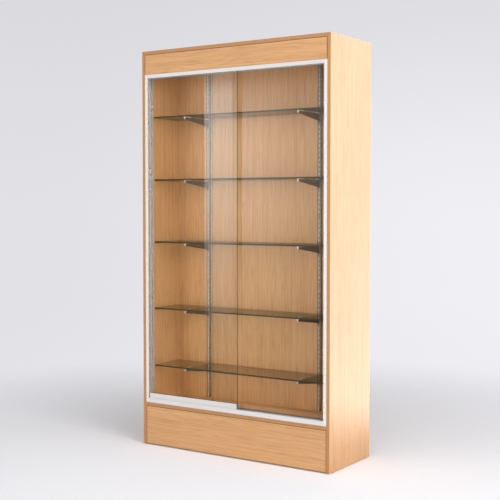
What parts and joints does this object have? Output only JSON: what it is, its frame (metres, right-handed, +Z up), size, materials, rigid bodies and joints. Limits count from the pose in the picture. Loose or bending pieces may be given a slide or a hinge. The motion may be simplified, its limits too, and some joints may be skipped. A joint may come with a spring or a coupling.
{
  "type": "glass display cabinet",
  "caption": "Tall board display cabinet with bypassing glass sliding doors in an aluminium frame and glass shelves on brackets hooked into slotted uprights.",
  "frame": {"origin": "centre of the footprint, on the floor under the glides", "axes": "+Z up; -Y is the glass door side; +X is to the right of someone facing the doors"},
  "size_m": [1.2, 0.435, 2.2],
  "materials": {
    "wood_board": "satin melamine, light oak grain",
    "satin_aluminium": "satin anodised",
    "door_glass": "clear float glass, polished edges",
    "shelf_glass": "clear float glass, green ground edges",
    "upright_steel": "bright zinc plated",
    "bracket_steel": "dark graphite coating",
    "pad_plastic": "pale translucent moulding",
    "screw_steel": "zinc plated",
    "cap_plastic": "moulded",
    "seal_rubber": "matt",
    "nylon": "turned and moulded nylon",
    "block_plastic": "moulded",
    "glide_plastic": "moulded"
  },
  "bodies": {
    "cabinet": {"left_side_panel": "wood_board", "right_side_panel": "wood_board", "top_panel": "wood_board", "deck_panel": "wood_board", "back_panel": "wood_board", "left_back_batten": "wood_board", "right_back_batten": "wood_board", "header_fascia": "wood_board", "header_rail": "wood_board", "plinth_panel": "wood_board", "rear_plinth_rail": "wood_board", "centre_support": "wood_board", "corner_blocks": "block_plastic", "floor_glides": "glide_plastic", "left_jamb": "satin_aluminium", "right_jamb": "satin_aluminium", "top_track": "satin_aluminium", "top_guides": "nylon", "bottom_track": "satin_aluminium", "door_buffers": "seal_rubber", "top_track_screws": "screw_steel", "bottom_track_screws": "screw_steel", "left_upright": "upright_steel", "right_upright": "upright_steel", "upright_screws": "screw_steel", "shelf_1": "shelf_glass", "shelf_2": "shelf_glass", "shelf_3": "shelf_glass", "shelf_4": "shelf_glass", "shelf_5": "shelf_glass", "bracket_1_left": "bracket_steel", "bracket_1_right": "bracket_steel", "bracket_2_left": "bracket_steel", "bracket_2_right": "bracket_steel", "bracket_3_left": "bracket_steel", "bracket_3_right": "bracket_steel", "bracket_4_left": "bracket_steel", "bracket_4_right": "bracket_steel", "bracket_5_left": "bracket_steel", "bracket_5_right": "bracket_steel", "bracket_pads": "pad_plastic"},
    "front_door": {"front_door_glass": "door_glass", "front_door_shoe": "satin_aluminium", "front_door_gasket": "seal_rubber", "front_door_end_caps": "cap_plastic", "front_door_axles": "screw_steel"},
    "rear_door": {"rear_door_glass": "door_glass", "rear_door_shoe": "satin_aluminium", "rear_door_gasket": "seal_rubber", "rear_door_end_caps": "cap_plastic", "rear_door_axles": "screw_steel"},
    "front_left_roller": {"front_left_roller": "nylon"},
    "front_right_roller": {"front_right_roller": "nylon"},
    "rear_left_roller": {"rear_left_roller": "nylon"},
    "rear_right_roller": {"rear_right_roller": "nylon"}
  },
  "joints": [
    {"name": "front_door_slide", "type": "slide", "parent": "cabinet", "child": "front_door", "axis": [1, 0, 0], "range_m": [0, 0.5265]},
    {"name": "rear_door_slide", "type": "slide", "parent": "cabinet", "child": "rear_door", "axis": [-1, 0, 0], "range_m": [0, 0.4155]},
    {"name": "front_left_roller_spin", "type": "hinge", "parent": "front_door", "child": "front_left_roller", "pos_m": [-0.488, -0.203, 0.2488], "axis": [0, 1, 0], "continuous": true},
    {"name": "front_right_roller_spin", "type": "hinge", "parent": "front_door", "child": "front_right_roller", "pos_m": [-0.0385, -0.203, 0.2488], "axis": [0, 1, 0], "continuous": true},
    {"name": "rear_left_roller_spin", "type": "hinge", "parent": "rear_door", "child": "rear_left_roller", "pos_m": [-0.0725, -0.178, 0.2488], "axis": [0, 1, 0], "continuous": true},
    {"name": "rear_right_roller_spin", "type": "hinge", "parent": "rear_door", "child": "rear_right_roller", "pos_m": [0.488, -0.178, 0.2488], "axis": [0, 1, 0], "continuous": true}
  ],
  "couplings": [
    {"joint": "front_left_roller_spin", "follows": "front_door_slide", "rad_per_m": 222.22},
    {"joint": "front_right_roller_spin", "follows": "front_door_slide", "rad_per_m": 222.22},
    {"joint": "rear_left_roller_spin", "follows": "rear_door_slide", "rad_per_m": -222.22},
    {"joint": "rear_right_roller_spin", "follows": "rear_door_slide", "rad_per_m": -222.22}
  ]
}
